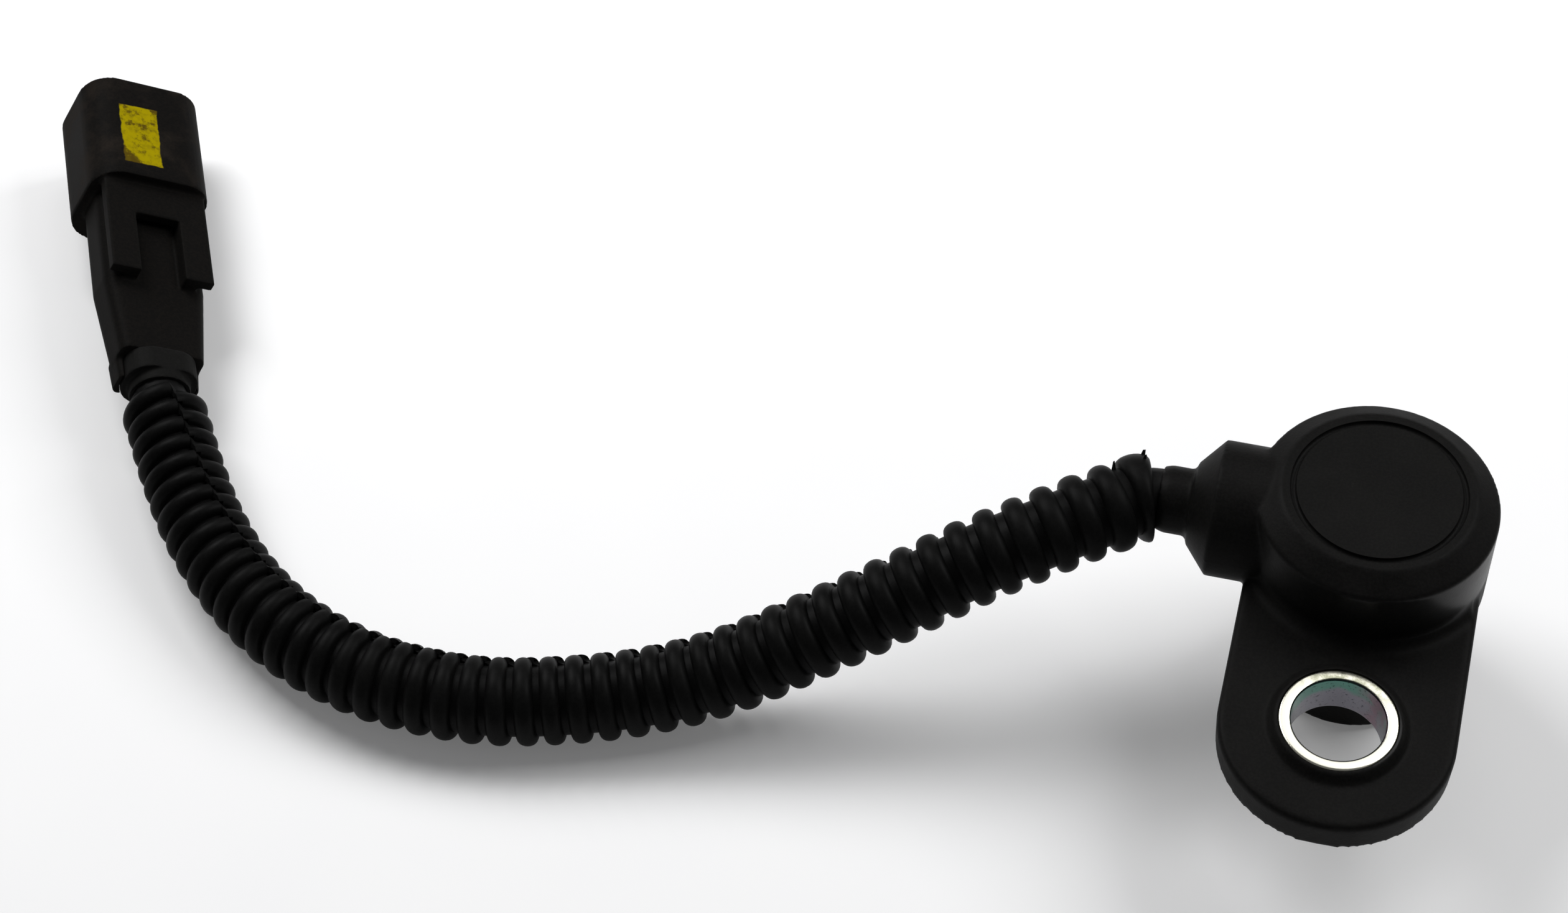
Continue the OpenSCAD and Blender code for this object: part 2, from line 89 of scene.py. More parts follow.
# %% [markdown]
# ## The cable's route
# The cable leaves the neck level, comes down to the table, swings round in one wide bend and goes into the
# connector's boot. One Bezier curve follows the points that the CAD route has. Each handle is a sixth of
# the way between the neighbours, which makes the same smooth line as the CAD one.

# %% Cable
cable_r = 2.3
cable_in_head = 7.9
cable_in_boot = 2.7
route_steps = 8
jacket_rings = 6
plug_at = Vector((-101.9, -0.5, 5.7335))
plug_turn = math.radians(25)
plug_roll = math.radians(31)
neck_axis = Vector((-1, 0, 0))
plug_axis = Vector((-math.sin(plug_turn), math.cos(plug_turn), 0))
route = [Vector(point) for point in (
    (-16.7, 0, 16.2), (-20.5, -2, 16), (-25, -4.8, 15.2), (-30, -7.6, 13.6), (-36, -11, 11),
    (-42, -14, 8.2), (-48, -16.8, 5.6), (-54, -19.2, 4.2), (-60, -21.2, 3.8), (-66, -22.7, 3.8),
    (-72, -23, 3.8), (-78, -22.2, 3.8), (-84, -20, 3.8), (-89.5, -16.4, 3.9), (-94, -12, 4.4),
    (-97.6, -7.2, 5), (-100.05, -3.4, 5.5), plug_at,
)]
before_route = route[1] - 2 * (route[1] - route[0]).length * neck_axis
after_route = route[-2] + 2 * (route[-1] - route[-2]).length * plug_axis
around = [before_route, *route, after_route]
pulls = [(around[i + 2] - around[i]) / 6 for i in range(len(route))]
into_head = neck_axis * cable_in_head / 3
into_boot = plug_axis * cable_in_boot / 3

knots = [(at - pull, at, at + pull) for at, pull in zip(route, pulls)]
knots[0] = (route[0] - into_head, route[0], route[0] + pulls[0])
knots[-1] = (route[-1] - pulls[-1], route[-1], route[-1] + into_boot)
jacket_start = route[0] - 3 * into_head
jacket_end = route[-1] + 3 * into_boot
knots.insert(0, (jacket_start - into_head, jacket_start, jacket_start + into_head))
knots.append((jacket_end - into_boot, jacket_end, jacket_end + into_boot))


def start_clean():
    """Object mode with nothing selected, so that an operator acts only on what comes next."""
    if bpy.context.object and bpy.context.object.mode != "OBJECT":
        bpy.ops.object.mode_set(mode="OBJECT")
    bpy.ops.object.select_all(action="DESELECT")


def route_curve(name, scale):
    """One open spline along the cable's route, in units of scale metres."""
    start_clean()
    bpy.ops.curve.primitive_bezier_curve_add()
    made = bpy.context.object
    made.name = name
    made.data.dimensions = "3D"
    made.data.twist_mode = "Z_UP"
    made.data.resolution_u = route_steps
    spline = made.data.splines[0]
    spline.bezier_points.add(len(knots) - len(spline.bezier_points))
    for point, (left, at, right_side) in zip(spline.bezier_points, knots):
        point.handle_left_type = "FREE"
        point.handle_right_type = "FREE"
        point.co = at * scale
        point.handle_left = left * scale
        point.handle_right = right_side * scale
    return made


cable = route_curve("cable_jacket", mm)
cable.data.bevel_depth = 1
cable.data.bevel_resolution = jacket_rings
cable.data.use_fill_caps = True
for point in cable.data.splines[0].bezier_points:
    point.radius = cable_r * mm
cable_length = cable.data.splines[0].calc_length()
guide = route_curve("loom_guide", 1)
print("cable length in mm:", round(cable_length / mm, 2))

# %% [markdown]
# ## Drawing with one vertex
# Most of these pieces are turned or pushed out of a drawn line. A plane merged to one vertex is the pencil:
# extruding that vertex from point to point draws the line. Spinning the line makes a turned piece, and
# filling it and extruding the face makes a bar. Sizes are in millimetres until a piece is finished.

# %% Helpers
merge_gap = 0.001
turn_steps = 96
fine_steps = 128


def only(piece):
    """Selects one object and nothing else."""
    start_clean()
    piece.select_set(True)
    bpy.context.view_layer.objects.active = piece


def traced(name, points):
    """A line of edges through the points, left in edit mode with its last vertex selected."""
    start_clean()
    bpy.ops.mesh.primitive_plane_add(size=1)
    piece = bpy.context.object
    piece.name = name
    bpy.ops.object.mode_set(mode="EDIT")
    bpy.ops.mesh.merge(type="CENTER")
    bpy.ops.transform.translate(value=points[0])
    for here, there in zip(points, points[1:]):
        step = Vector(there) - Vector(here)
        bpy.ops.mesh.extrude_vertices_move(TRANSFORM_OT_translate={"value": step})
    return piece


def close_seams():
    """Merges what a spin left doubled, turns the faces outwards and leaves edit mode."""
    bpy.ops.mesh.select_all(action="SELECT")
    bpy.ops.mesh.remove_doubles(threshold=merge_gap)
    bpy.ops.mesh.normals_make_consistent(inside=False)
    bpy.ops.object.mode_set(mode="OBJECT")


def turned(name, profile, steps=turn_steps, along_x=False):
    """A turned piece from (radius, height) points, about Z, or about X with its height towards -X."""
    if along_x:
        points = [(-height, 0, radius) for radius, height in profile]
        axis = (1, 0, 0)
    else:
        points = [(radius, 0, height) for radius, height in profile]
        axis = (0, 0, 1)
    piece = traced(name, points)
    bpy.ops.mesh.select_all(action="SELECT")
    bpy.ops.mesh.spin(steps=steps, angle=2 * math.pi, center=(0, 0, 0), axis=axis)
    close_seams()
    return piece


def filled(name, outline, facing):
    """A flat face inside a closed outline, facing one way, left in edit mode and selected."""
    piece = traced(name, outline)
    bpy.ops.mesh.select_all(action="SELECT")
    bpy.ops.mesh.edge_face_add()
    bpy.ops.object.mode_set(mode="OBJECT")
    turned_away = piece.data.polygons[0].normal.dot(Vector(facing)) < 0
    bpy.ops.object.mode_set(mode="EDIT")
    if turned_away:
        bpy.ops.mesh.flip_normals()
    return piece


def push(x=0, y=0, z=0):
    """Extrudes the selected face by a step."""
    bpy.ops.mesh.extrude_region_move(TRANSFORM_OT_translate={"value": (x, y, z)})


def finish_modifier(piece, kind, **settings):
    """Adds a modifier with its settings and applies it."""
    only(piece)
    modifier = piece.modifiers.new(kind.lower(), kind)
    for name, value in settings.items():
        setattr(modifier, name, value)
    bpy.ops.object.modifier_apply(modifier=modifier.name)


def boolean(piece, tool, operation):
    """Cuts a closed piece with another, or keeps what they share, and deletes the tool."""
    finish_modifier(piece, "BOOLEAN", object=tool, operation=operation, solver="MANIFOLD")
    bpy.data.objects.remove(tool)


def joined(pieces):
    """Several closed pieces as one object, the first one's."""
    only(pieces[0])
    for piece in pieces:
        piece.select_set(True)
    bpy.ops.object.join()
    return pieces[0]


def soften(piece, voxel, passes):
    """Fuses overlapping closed pieces into one skin and rounds its edges, as a mould does."""
    finish_modifier(piece, "REMESH", mode="VOXEL", voxel_size=voxel)
    finish_modifier(piece, "SMOOTH", factor=0.5, iterations=passes)


def place(piece, location, rotation=(0, 0, 0)):
    """Moves and turns a piece, and puts that into its mesh."""
    only(piece)
    piece.location = location
    piece.rotation_euler = rotation
    bpy.ops.object.transform_apply(location=True, rotation=True, scale=True)


def settle(piece, nodes, crease=35):
    """Brings a finished piece to metres at the origin and lets it stand for its CAD nodes."""
    only(piece)
    piece.scale = (mm, mm, mm)
    bpy.ops.object.transform_apply(location=True, rotation=True, scale=True)
    bpy.ops.object.shade_smooth_by_angle(angle=math.radians(crease))
    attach(piece, "root")
    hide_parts(*nodes)
    piece.data.calc_loop_triangles()
    print(piece.name, "triangles:", len(piece.data.loop_triangles))


def arc(middle, radius, start, stop, count):
    """Points (across, along) on an arc, its angles in degrees."""
    turns = [math.radians(start + (stop - start) * i / count) for i in range(count + 1)]
    return [(middle[0] + radius * math.cos(a), middle[1] + radius * math.sin(a)) for a in turns]


def circle(radius, count):
    """Points (across, along) once round a circle, without the first one again."""
    return arc((0, 0), radius, 0, 360 - 360 / count, count - 1)


# %% [markdown]
# ## The split convoluted loom
# The loom is a blown tube with round ribs, slit along its length so that it can be pushed over a cable.
# One rib is drawn and spun almost all the way round, which leaves the slit open. An Array repeats it.
# The tube is pushed together towards the connector, so a Displace along it moves its middle ribs that way,
# and a second one, weighted from one lip of the slit to the other, lets one lip slip along the other.
# A twist winds the slit round, Solidify gives the thin wall, and a Curve modifier lays the tube along the
# cable.

# %% Loom
loom_from_neck = 0.7
loom_from_boot = 0.5
loom_from = cable_in_head + loom_from_neck
loom_length = cable_length / mm - cable_in_boot - loom_from_boot - loom_from
pitch_head = 2.45
pitch_boot = 1.75
rib_count = 48
rib_pitch = loom_length / rib_count
root_r = 2.8
rib_h = 0.77
rib_half_w = 0.37
rib_fullness = 0.75
loom_wall = 0.4
slit_w = 0.1
slit_slip = 1.2
slit_angle_head = -10
slit_angle_boot = 70
rib_steps = 12
loom_steps = 48


def rib_point(turn):
    """A point (along, radius) on a round rib, by its turn from one foot to the other."""
    along = rib_half_w * (1 - math.cos(turn))
    return along * rib_pitch, root_r + rib_h * max(math.sin(turn), 0) ** rib_fullness


rib_line = [rib_point(math.pi * i / rib_steps) for i in range(rib_steps + 1)]
rib_line.append((rib_pitch, root_r))

slit_half = math.asin(slit_w / 2 / root_r)
slit_start = math.radians(slit_angle_head) + slit_half
wrap = 2 * (math.pi - slit_half)
loom = traced("split_loom_tube", [
    (loom_from + x, -r * math.cos(slit_start), r * math.sin(slit_start)) for x, r in rib_line
])
bpy.ops.mesh.select_all(action="SELECT")
bpy.ops.mesh.spin(
    steps=loom_steps, angle=wrap, center=(0, 0, 0), axis=(-1, 0, 0), use_auto_merge=False
)
bpy.ops.mesh.select_all(action="SELECT")
bpy.ops.mesh.normals_make_consistent(inside=False)
bpy.ops.object.mode_set(mode="OBJECT")
first_face = loom.data.polygons[0]
if first_face.normal.dot(Vector((0, *first_face.center.yz))) < 0:
    bpy.ops.object.mode_set(mode="EDIT")
    bpy.ops.mesh.select_all(action="SELECT")
    bpy.ops.mesh.flip_normals()
    bpy.ops.object.mode_set(mode="OBJECT")
finish_modifier(
    loom, "ARRAY", count=rib_count, use_relative_offset=False, use_constant_offset=True,
    constant_offset_displace=(rib_pitch, 0, 0), use_merge_vertices=True, merge_threshold=merge_gap,
)

bunch = loom.vertex_groups.new(name="bunch")
for vertex in loom.data.vertices:
    share = (vertex.co.x - loom_from) / loom_length
    bunch.add([vertex.index], 4 * share * (1 - share), "REPLACE")
bunch_reach = loom_length * (pitch_head - pitch_boot) / (pitch_head + pitch_boot) / 4
finish_modifier(
    loom, "DISPLACE", direction="X", space="LOCAL", mid_level=0, strength=bunch_reach, vertex_group="bunch"
)

lip = loom.vertex_groups.new(name="slip")
for vertex in loom.data.vertices:
    turn = (math.atan2(vertex.co.z, -vertex.co.y) - slit_start) % (2 * math.pi)
    turn_share = min(turn / wrap, 1)
    lip.add([vertex.index], turn_share * (vertex.co.x - loom_from) / loom_length, "REPLACE")
finish_modifier(
    loom, "DISPLACE", direction="X", space="LOCAL", mid_level=0, strength=-slit_slip, vertex_group="slip"
)
place(loom, (-loom_from, 0, 0))
finish_modifier(
    loom, "SIMPLE_DEFORM", deform_method="TWIST", deform_axis="X",
    angle=math.radians(slit_angle_head - slit_angle_boot),
)
finish_modifier(loom, "SOLIDIFY", thickness=loom_wall, offset=-1)
widest = max(math.hypot(v.co.y, v.co.z) for v in loom.data.vertices)
print("loom length and radius in mm:", round(loom_length, 2), round(widest, 2))

# %% [markdown]
# The knife that cut the loom to length left a few torn burrs on its first ribs, at the head's end. Each
# is a small cone, rooted in the wall, with its tip pulled over. A place is how far along the burr stands,
# its angle round the tube and its length.

# %% Loom burrs
burr_sunk = 0.05
burr_foot = root_r - burr_sunk
burr_sides = 5
burr_r = 0.22
burr_tip_r = 0.06
burr_lean = (-0.25, 0.1, 0)
burr_places = ((0.45, 42, 1), (0.5, 62, 0.95), (2.15, 40, 0.7))

burrs = []
for along, angle, length in burr_places:
    start_clean()
    bpy.ops.mesh.primitive_cone_add(vertices=burr_sides, radius1=burr_r, radius2=burr_tip_r, depth=length)
    burr = bpy.context.object
    bpy.ops.object.mode_set(mode="EDIT")
    bpy.ops.mesh.select_all(action="DESELECT")
    bpy.ops.object.mode_set(mode="OBJECT")
    for vertex in burr.data.vertices:
        vertex.select = vertex.co.z > 0
    bpy.ops.object.mode_set(mode="EDIT")
    bpy.ops.transform.translate(value=burr_lean)
    bpy.ops.object.mode_set(mode="OBJECT")
    tilt = math.radians(angle)
    reach = burr_foot + length / 2
    place(burr, (along, -reach * math.cos(tilt), reach * math.sin(tilt)), (math.pi / 2 - tilt, 0, 0))
    burrs.append(burr)
joined([loom, *burrs])
place(loom, (loom_from, 0, 0))
finish_modifier(loom, "CURVE", object=guide, deform_axis="POS_X")
bpy.data.objects.remove(guide)
settle(loom, ["split_loom"], crease=50)

# %% [markdown]
# ## The head
# The head is one plastic moulding: a nose for the bored hole, a flange with a bolt hole, a round head and
# a boss for the cable. The nose and the head are turned from one line, the boss from another, and the
# flange is a filled outline that is pushed up and inset, which keeps its border even. A voxel
# remesh then fuses them and rounds their edges as the mould does, and the holes are cut last, so
# that they stay crisp.

# %% Head, turned
nose_r = 7.5
face_z = 12
head_r = 9.4
head_top = 22
head_cone = 1.9
head_cone_h = 1.3
oring_groove = (7.65, 10)
oring_seat_r = 5.85
nose_chamfer = 0.6

head = turned("sensor_head", [
    (0, 0), (nose_r - nose_chamfer, 0), (nose_r, nose_chamfer), (nose_r, oring_groove[0]),
    (oring_seat_r, oring_groove[0]), (oring_seat_r, oring_groove[1]), (nose_r, oring_groove[1]),
    (nose_r, face_z), (head_r, face_z), (head_r, head_top - head_cone_h), (head_r - head_cone, head_top),
    (0, head_top),
], steps=fine_steps)

boss_z = 16.2
boss_r = 5.4
boss_reach = 12.2
boss_end_x = 14.1
boss_end_r = 3.2
neck_r = 2.68
neck_end_x = 16.7
neck_mouth_r = 2.48
neck_taper_len = 0.7

boss = turned("boss", [
    (0, 0), (boss_r, 0), (boss_r, boss_reach), (boss_end_r, boss_end_x), (neck_r, boss_end_x),
    (neck_r, neck_end_x - neck_taper_len), (neck_mouth_r, neck_end_x), (0, neck_end_x),
], along_x=True)
place(boss, (0, 0, boss_z))
bpy.ops.object.mode_set(mode="EDIT")
bpy.ops.mesh.select_all(action="SELECT")
bpy.ops.mesh.bisect(plane_co=(0, 0, face_z), plane_no=(0, 0, 1), use_fill=True, clear_inner=True)
close_seams()

# %% Flange
bolt_y = -17.2
flange_half_w = 9.05
flange_t = 2.9
flange_edge = 0.5
flange_draft = 0.1
flange_slab = 0.01
collar_h = 0.8
collar_foot = 0.9
collar_land = 0.2
bush_r = 4.55
round_steps = 4
end_steps = 48
level_normal = 0.9


def flange_outline(half_w, height):
    """The flange's plan: two half circles and the straight sides between them."""
    ends = arc((0, 0), half_w, 0, 180, end_steps) + arc((0, bolt_y), half_w, 180, 360, end_steps)
    return [(x, y, height) for x, y in ends]


def select_level(piece, height):
    """Selects the faces that lie at one height, in edit mode."""
    only(piece)
    bpy.ops.object.mode_set(mode="EDIT")
    bpy.ops.mesh.select_mode(type="FACE")
    bpy.ops.mesh.select_all(action="DESELECT")
    bpy.ops.object.mode_set(mode="OBJECT")
    for face in piece.data.polygons:
        face.select = abs(face.center.z - height) < merge_gap and abs(face.normal.z) > level_normal
    bpy.ops.object.mode_set(mode="EDIT")
    bpy.ops.mesh.select_mode(type="VERT")


widest_z = face_z + flange_t - flange_edge
flange = filled("flange", flange_outline(flange_half_w, widest_z), (0, 0, 1))
push(z=flange_slab)
for i in range(round_steps):
    low = math.radians(90 * i / round_steps)
    high = math.radians(90 * (i + 1) / round_steps)
    bpy.ops.mesh.inset(
        thickness=flange_edge * (math.cos(low) - math.cos(high)),
        depth=flange_edge * (math.sin(high) - math.sin(low)),
    )
close_seams()
select_level(flange, widest_z)
bpy.ops.mesh.inset(thickness=flange_draft, depth=flange_t - flange_edge)
close_seams()
flange_heights = [v.co.z for v in flange.data.vertices]
print("flange from", min(flange_heights), "to", max(flange_heights))

flange_top = face_z + flange_t
collar = turned("collar", [
    (0, face_z), (bush_r + collar_foot, face_z), (bush_r + collar_foot, flange_top),
    (bush_r + collar_land, flange_top + collar_h), (0, flange_top + collar_h),
])
place(collar, (0, bolt_y, 0))

# %% Fillet round the head
head_fillet = 1.2
fillet_in = head_r - 0.6
fillet_under = flange_top - 0.4
sweep_steps = 10
plan_h = 8

fillet_out = head_r + head_fillet
fillet_top = flange_top + head_fillet
sweep = arc((fillet_out, fillet_top), head_fillet, 270, 180, sweep_steps)
fillet = turned("fillet", [
    (fillet_in, fillet_top), (fillet_in, fillet_under), (fillet_out, fillet_under), *sweep,
    (fillet_in, fillet_top),
])
plan = filled("plan", flange_outline(flange_half_w - flange_edge, face_z), (0, 0, 1))
push(z=plan_h)
close_seams()
boolean(fillet, plan, "INTERSECT")

joined([head, boss, flange, collar, fillet])
soften(head, voxel=0.2, passes=2)
print("head fused, faces:", len(head.data.polygons))

# %% [markdown]
# The holes: the bush's seat, the pocket that the pick-up sits in, the cable's bore and a plain ring groove in
# the head's top.

# %% Holes in the head
ring_r = 6.6
ring_w = 0.5
ring_d = 0.32
hole_fit = 0.03
cut_past = 1
seat_r = bush_r + hole_fit
seat_low = face_z - 2
seat_top = face_z + 6
tip_hole_r = 2.23
tip_wall = 1.4
pocket_r = 4.43
pocket_top = 17.95
bore_r = cable_r + hole_fit
bore_len = 18
groove_steps = 8

bush_seat = turned("bush_seat", [(0, seat_low), (seat_r, seat_low), (seat_r, seat_top), (0, seat_top)])
place(bush_seat, (0, bolt_y, 0))
pocket = turned("pocket", [
    (0, -cut_past), (tip_hole_r, -cut_past), (tip_hole_r, tip_wall), (pocket_r, tip_wall),
    (pocket_r, pocket_top), (0, pocket_top),
])
bore = turned("bore", [(0, 0), (bore_r, 0), (bore_r, bore_len), (0, bore_len)], along_x=True)
place(bore, (0, 0, boss_z))
half_groove = ring_w / 2
over_head = head_top + cut_past
ring_groove = turned("ring_groove", [
    (ring_r - half_groove, over_head),
    *arc((ring_r, head_top - ring_d + half_groove), half_groove, 180, 360, groove_steps),
    (ring_r + half_groove, over_head), (ring_r - half_groove, over_head),
], steps=fine_steps)
for tool in (bush_seat, pocket, bore, ring_groove):
    boolean(head, tool, "DIFFERENCE")
settle(head, ["sensor_body"])

# %% [markdown]
# ## The bush
# A steel bush takes the bolt's clamping force so that the plastic isn't crushed. It is turned from a closed
# section with rolled edges, which catch the light.

# %% Bush
bolt_hole_r = 3.58
bush_low = face_z
bush_top = flange_top + collar_h
bush_edge = 0.2
edge_steps = 4
bush = turned("steel_bush", [
    *arc((bolt_hole_r + bush_edge, bush_low + bush_edge), bush_edge, 180, 270, edge_steps),
    *arc((bush_r - bush_edge, bush_low + bush_edge), bush_edge, 270, 360, edge_steps),
    *arc((bush_r - bush_edge, bush_top - bush_edge), bush_edge, 0, 90, edge_steps),
    *arc((bolt_hole_r + bush_edge, bush_top - bush_edge), bush_edge, 90, 180, edge_steps),
    (bolt_hole_r, bush_low + bush_edge),
], steps=fine_steps)
place(bush, (0, bolt_y, 0))
settle(bush, ["compression_limiter"])

# %% [markdown]
# ## The connector
# The connector lies rolled on its hood. It is modelled straight, with its mouth towards +Y, and turned into
# place last. The hood is a rounded bar with its mouth inset and pushed in. The body is a second bar whose
# far end is drawn in, with two low cheeks that run on beside the boot, and the clip rail is a U with a window
# between its legs, raised on two feet.

# %% Connector, shell
hood_w = 11
hood_h = 9.2
hood_r = 2.8
hood_wall = 1.1
hood_y = 21.3
hood_len = 11.6
hood_back = 1.2
body_w = 9.2
body_h = 4.4
body_top = 2.1
body_r = 1.2
body_y = 3.2
straight_y = 11.3
taper_w = 1.6
taper_h = 0.4
overlap = 0.4
tail_w = 6.4
tail_h = 5.3
tail_r = 2.2
tail_room = 0.1
cheek_low = -1.9
cheek_top = 0.5
cheek_r = 0.5
cheek_end_y = 1.1
corner_steps = 8


def bar_outline(width, height, radius, at_y, at_z=0):
    """A rectangle with round corners, across the connector's axis."""
    wide = width / 2 - radius
    high = height / 2 - radius
    corners = (((wide, high), 0), ((-wide, high), 90), ((-wide, -high), 180), ((wide, -high), 270))
    points = [p for middle, start in corners for p in arc(middle, radius, start, start + 90, corner_steps)]
    return [(x, at_y, at_z + z) for x, z in points]


hood = filled("hood", bar_outline(hood_w, hood_h, hood_r, hood_y), (0, 1, 0))
push(y=hood_len)
bpy.ops.mesh.inset(thickness=hood_wall)
push(y=hood_back - hood_len)
close_seams()

body = filled("body", bar_outline(
    body_w, body_h, body_r, hood_y + overlap, body_top - body_h / 2
), (0, -1, 0))
push(y=straight_y - hood_y - overlap)
push(y=body_y - straight_y)
bpy.ops.transform.resize(
    value=(1 - taper_w / body_w, 1, 1 - taper_h / body_h), center_override=(0, body_y, body_top)
)
close_seams()

cheeks = filled("cheeks", bar_outline(
    body_w - taper_w, cheek_top - cheek_low, cheek_r, body_y + overlap, (cheek_top + cheek_low) / 2
), (0, -1, 0))
push(y=cheek_end_y - body_y - overlap)
cheek_in = (body_y - cheek_end_y) / (straight_y - body_y) * taper_w / (body_w - taper_w)
bpy.ops.transform.resize(value=(1 - cheek_in, 1, 1), center_override=(0, cheek_end_y, 0))
close_seams()
boot_seat = filled("boot_seat", bar_outline(
    tail_w + tail_room, tail_h + tail_room, tail_r + tail_room / 2, body_y
), (0, -1, 0))
push(y=-body_y - overlap)
close_seams()
boolean(cheeks, boot_seat, "DIFFERENCE")

# %% Connector, clip rail
rail_w = 9.3
rail_t = 1
rail_foot = 0.5
rail_len = 10.4
bridge_len = 3.6
window_w = 4
rail_end_y = hood_y - rail_len
window_y = hood_y - bridge_len
rail_low = body_top + rail_foot
leg = rail_w / 2
gap = window_w / 2

rail = filled("rail", [(x, y, rail_low) for x, y in (
    (-leg, hood_y + overlap), (leg, hood_y + overlap), (leg, rail_end_y), (gap, rail_end_y),
    (gap, window_y), (-gap, window_y), (-gap, rail_end_y), (-leg, rail_end_y),
)], (0, 0, 1))
push(z=rail_t)
close_seams()
feet = []
foot_edge = body_w / 2 - body_r
for side in (-1, 1):
    foot = filled("foot", [(side * x, y, body_top - overlap) for x, y in (
        (gap, hood_y + overlap), (foot_edge, hood_y + overlap), (foot_edge, rail_end_y), (gap, rail_end_y),
    )], (0, 0, 1))
    push(z=rail_foot + 2 * overlap)
    close_seams()
    feet.append(foot)
shell = joined([hood, body, cheeks, rail, *feet])
shell.name = "connector_housing"
soften(shell, voxel=0.15, passes=2)
print("shell fused, faces:", len(shell.data.polygons))

# %% Connector, holes
seal_w = 6
seal_h = 3
seal_r = 0.8
seal_end_y = 11.8
pin_gap = 1.75
crimp_r = 0.85
crimp_sides = 24

seal_pocket = filled("seal_pocket", bar_outline(
    seal_w + 2 * hole_fit, seal_h + 2 * hole_fit, seal_r, body_y - cut_past
), (0, 1, 0))
push(y=seal_end_y - body_y + cut_past)
close_seams()
boolean(shell, seal_pocket, "DIFFERENCE")
for side in (-1, 1):
    contact_bore = filled("contact_bore", [
        (side * pin_gap + x, seal_end_y - cut_past, z) for x, z in circle(crimp_r + hole_fit, crimp_sides)
    ], (0, 1, 0))
    push(y=hood_y + hood_back - seal_end_y + 2 * cut_past)
    close_seams()
    boolean(shell, contact_bore, "DIFFERENCE")
place(shell, plug_at, (0, plug_roll, plug_turn))
settle(shell, ["connector_shell"])

# %% [markdown]
# ## The rear boot
# A soft boot closes the connector's back and grips the cable. It is a rounded bar with a round lip at its
# mouth and a spigot that goes into the seal's pocket, and it is bored for the cable and its two cores.

# %% Rear boot
spigot_len = 1
core_r = 0.75
core_gap = 0.95
core_lap = 0.5
lip_len = 1
lip_r = 2.63
round_sides = 60

tail = filled("tail", bar_outline(tail_w, tail_h, tail_r, body_y), (0, -1, 0))
push(y=lip_len - body_y)
close_seams()
lip_bar = filled("lip_bar", [(x, 0, z) for x, z in circle(lip_r, round_sides)], (0, 1, 0))
push(y=lip_len + overlap)
close_seams()
spigot = filled("spigot", bar_outline(seal_w, seal_h, seal_r, body_y - overlap), (0, 1, 0))
push(y=spigot_len + overlap)
close_seams()
boot = joined([tail, lip_bar, spigot])
boot.name = "rear_boot_soft"
soften(boot, voxel=0.1, passes=3)
cable_hole = filled("cable_hole", [(x, -cut_past, z) for x, z in circle(bore_r, round_sides)], (0, 1, 0))
push(y=cable_in_boot + cut_past)
close_seams()
boolean(boot, cable_hole, "DIFFERENCE")
core_slot = filled("core_slot", bar_outline(
    2 * (core_gap + core_r + hole_fit), 2 * (core_r + hole_fit), core_r / 2, cable_in_boot - core_lap
), (0, 1, 0))
push(y=spigot_len + 2 * cut_past)
close_seams()
boolean(boot, core_slot, "DIFFERENCE")
place(boot, plug_at, (0, plug_roll, plug_turn))
settle(boot, ["rear_boot"])

# %% [markdown]
# ## The cord
# The cable rides with the part, and everything beyond the neck goes with it.

# %% Cord
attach(cable, "root")
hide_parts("cable")

# %% [markdown]
# ## Finishes
# A finish is a small tree of nodes. The Wire class lets Python's own + - * stand for Math nodes, so that a
# mask reads like a formula. Every pattern reads Object coordinates, which are metres in the part's own frame.

# %% Wires


class Wire:
    """A socket in a finish, on which Python's operators add Math nodes."""

    def __init__(self, tree, socket=None):
        self.tree = tree
        self.socket = socket

    def node(self, kind, settings=None, sockets=None, output=0):
        """Adds any node: its type, its settings, and the values or wires of its sockets."""
        made = self.tree.nodes.new(kind)
        for name, value in (settings or {}).items():
            setattr(made, name, value)
        for name, value in (sockets or {}).items():
            if isinstance(value, Wire):
                self.tree.links.new(value.socket, made.inputs[name])
            else:
                made.inputs[name].default_value = value
        return Wire(self.tree, made.outputs[output] if made.outputs else None)

    def math(self, operation, first, second):
        return self.node("ShaderNodeMath", {"operation": operation}, {0: first, 1: second})

    def __add__(self, other):
        return self.math("ADD", self, other)

    def __radd__(self, other):
        return self.math("ADD", other, self)

    def __sub__(self, other):
        return self.math("SUBTRACT", self, other)

    def __rsub__(self, other):
        return self.math("SUBTRACT", other, self)

    def __mul__(self, other):
        return self.math("MULTIPLY", self, other)

    def __rmul__(self, other):
        return self.math("MULTIPLY", other, self)

    def noise(self, scale, detail=2.0, roughness=0.5):
        """Cloudy values round a half, with scale patches to the metre."""
        return self.node("ShaderNodeTexNoise", None, {
            "Vector": self, "Scale": scale, "Detail": detail, "Roughness": roughness,
        })

    def step(self, low, high):
        """0 below low, 1 above high and smooth between."""
        return self.node("ShaderNodeMapRange", {"interpolation_type": "SMOOTHSTEP"}, {
            "Value": self, "From Min": low, "From Max": high,
        })

    def mixed(self, first, second):
        """Two colours mixed by this share of the second."""
        return self.node("ShaderNodeMix", {"data_type": "RGBA"}, {0: self, 6: first, 7: second}, 2)

    def bump(self, distance, strength=1.0):
        """A normal from this height, distance metres high."""
        return self.node("ShaderNodeBump", None, {
            "Height": self, "Distance": distance, "Strength": strength,
        })

    def coordinate(self, axis):
        """One of the numbers of a place: 0, 1 or 2 for X, Y or Z."""
        return self.node("ShaderNodeSeparateXYZ", None, {0: self}, axis)


def new_finish(name):
    """An empty material, and the wire of the place on the piece."""
    material = bpy.data.materials.new(name)
    material.use_nodes = True
    material.node_tree.nodes.clear()
    start = Wire(material.node_tree)
    return material, start.node("ShaderNodeTexCoord", output="Object")


